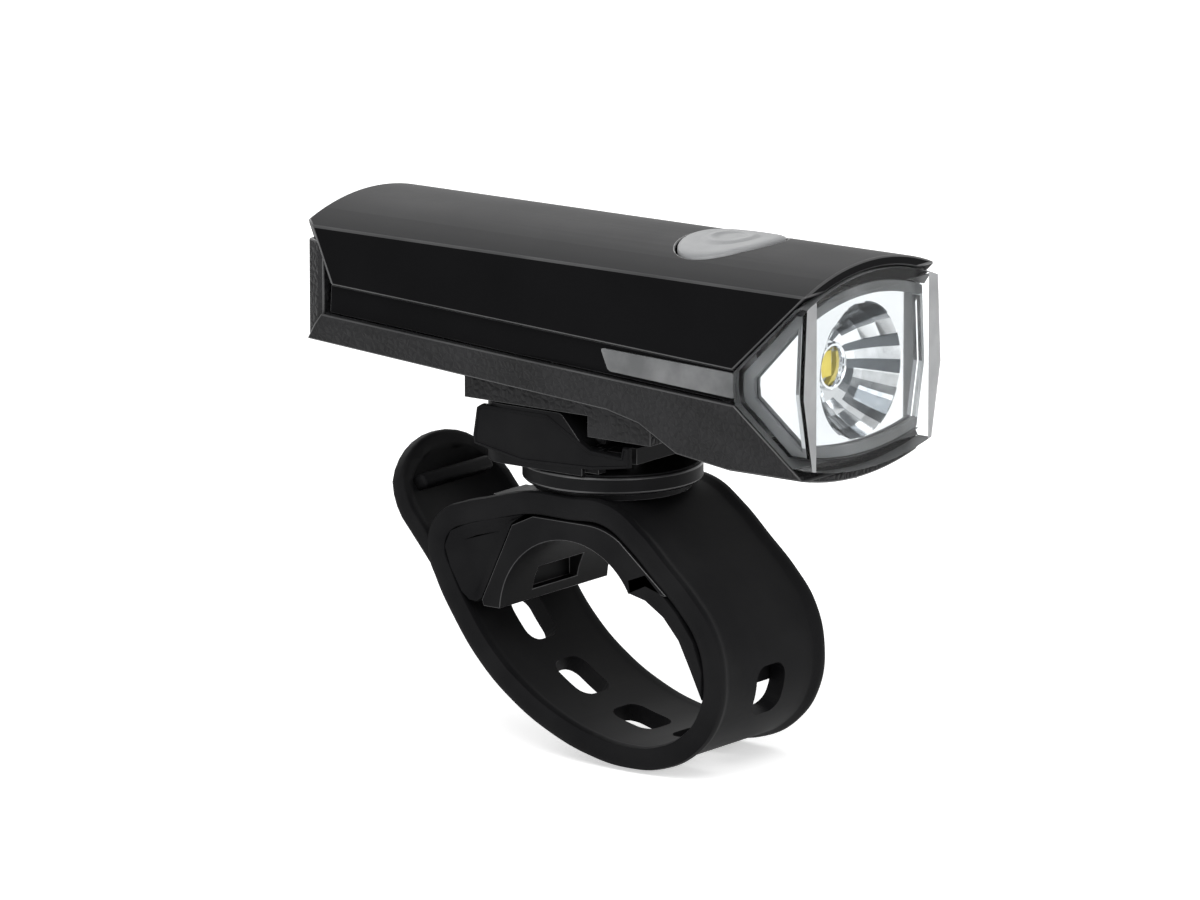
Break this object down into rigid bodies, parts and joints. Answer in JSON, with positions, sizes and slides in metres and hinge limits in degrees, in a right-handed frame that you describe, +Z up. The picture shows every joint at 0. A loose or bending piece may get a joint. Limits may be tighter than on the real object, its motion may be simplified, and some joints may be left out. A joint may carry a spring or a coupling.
{
  "type": "bicycle headlight",
  "caption": "Compact wedge-sided bicycle headlight with a wrap-round clear lens, on a swivelling quick-release shoe and a stretch strap for the handlebar.",
  "frame": {"origin": "centre of the handlebar clamp, on the bar's axis", "axes": "+X along the handlebar, -Y along the beam, +Z up"},
  "size_m": [0.0308, 0.0824, 0.0709],
  "materials": {
    "mount_plastic": "matte black",
    "strap_silicone": "matte black silicone",
    "steel": "plated",
    "brass": "turned",
    "cover_gloss": "satin to gloss black",
    "shell_textured": "spark-eroded grain",
    "clear_lens": "clear moulded",
    "silvered": "vacuum metallised",
    "board_white": "solder mask",
    "led_yellow": "phosphor",
    "alloy": "bare",
    "cell_foil": "foil pouch",
    "foam": "open foam",
    "board_green": "solder mask",
    "grey_silicone": "translucent grey",
    "flap_rubber": "matte"
  },
  "bodies": {
    "mount": {"saddle": "mount_plastic", "strap": "strap_silicone", "swivel_base": "mount_plastic", "pivot_screw": "steel", "pivot_washer": "steel", "pivot_nut": "brass"},
    "turntable": {"swivel_disc": "mount_plastic", "disc_screws": "steel", "bracket_shoe": "mount_plastic"},
    "latch": {"latch_tongue": "mount_plastic", "latch_pin": "steel"},
    "lamp": {"top_cover": "cover_gloss", "bottom_shell": "shell_textured", "case_screws": "steel", "chassis": "cover_gloss", "front_lens": "clear_lens", "lens_seal": "grey_silicone", "reflector": "silvered", "led_board": "board_white", "led_emitter": "led_yellow", "heat_spreader": "alloy", "battery_cell": "cell_foil", "battery_pad": "foam", "control_board": "board_green", "tact_switch": "steel", "charge_led": "led_yellow", "usb_socket": "steel", "slide_foot": "shell_textured", "foot_screws": "steel"},
    "button": {"power_button": "grey_silicone"},
    "usb_flap": {"usb_cover": "flap_rubber", "flap_pin": "steel"}
  },
  "joints": [
    {"name": "swivel", "type": "hinge", "parent": "mount", "child": "turntable", "pos_m": [0, 0.0015, 0.0176], "axis": [0, 0, 1], "range_deg": [-20, 20]},
    {"name": "latch_press", "type": "hinge", "parent": "turntable", "child": "latch", "pos_m": [0, -0.0034, 0.023], "axis": [1, 0, 0], "range_deg": [0, 15], "stiffness_Nm_per_rad": 0.02},
    {"name": "lamp_slide", "type": "slide", "parent": "turntable", "child": "lamp", "axis": [0, -1, 0], "range_m": [0, 0.014], "deforming": ["latch_tongue"]},
    {"name": "button_press", "type": "slide", "parent": "lamp", "child": "button", "axis": [0, 0, -1], "range_m": [0, 0.0006], "stiffness_N_per_m": 800},
    {"name": "usb_flap_hinge", "type": "hinge", "parent": "lamp", "child": "usb_flap", "pos_m": [0.0067, 0.0383, 0.0396], "axis": [0, 0, -1], "range_deg": [0, 110]}
  ]
}
